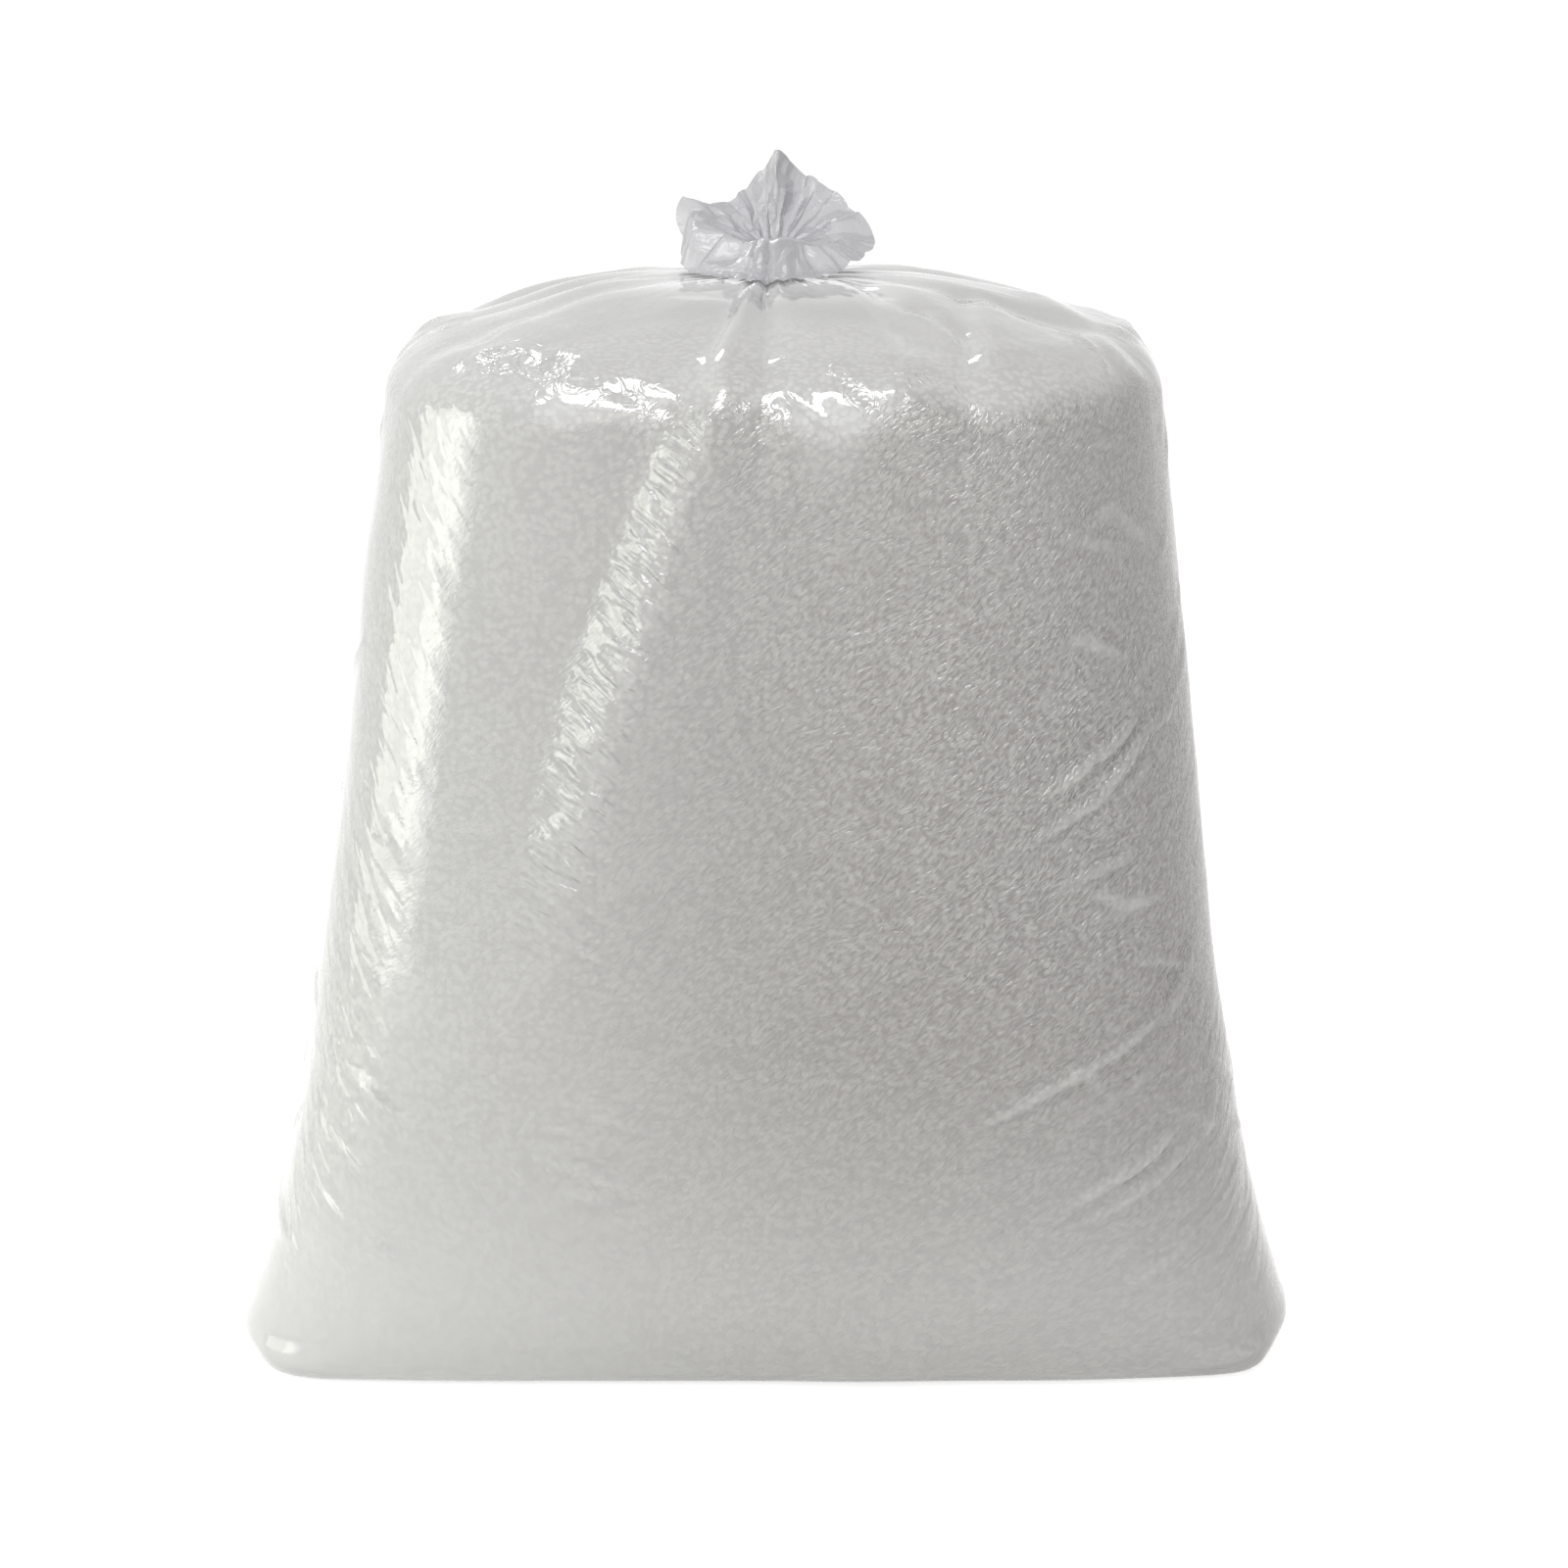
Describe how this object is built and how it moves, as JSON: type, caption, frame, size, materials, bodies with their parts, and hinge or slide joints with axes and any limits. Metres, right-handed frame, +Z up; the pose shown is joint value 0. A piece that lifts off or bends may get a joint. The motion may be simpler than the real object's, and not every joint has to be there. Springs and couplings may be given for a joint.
{
  "type": "bag of polystyrene beads",
  "caption": "Clear plastic bag filled with white polystyrene beads, standing on its flat foot, its neck tied and its mouth fanned out above the tie.",
  "frame": {"origin": "middle of the foot, on the floor", "axes": "+Z up along the bag, +Y from the front to the back, +X to the right as the front is seen"},
  "size_m": [0.642, 0.4374, 0.7206],
  "materials": {
    "film_bag": "clear glossy polythene film",
    "bead_fill": "white expanded polystyrene beads",
    "neck_tie": "narrow pale plastic band"
  },
  "bodies": {
    "root": {"film_bag": "film_bag", "bead_fill": "bead_fill", "neck_tie": "neck_tie"}
  },
  "joints": []
}
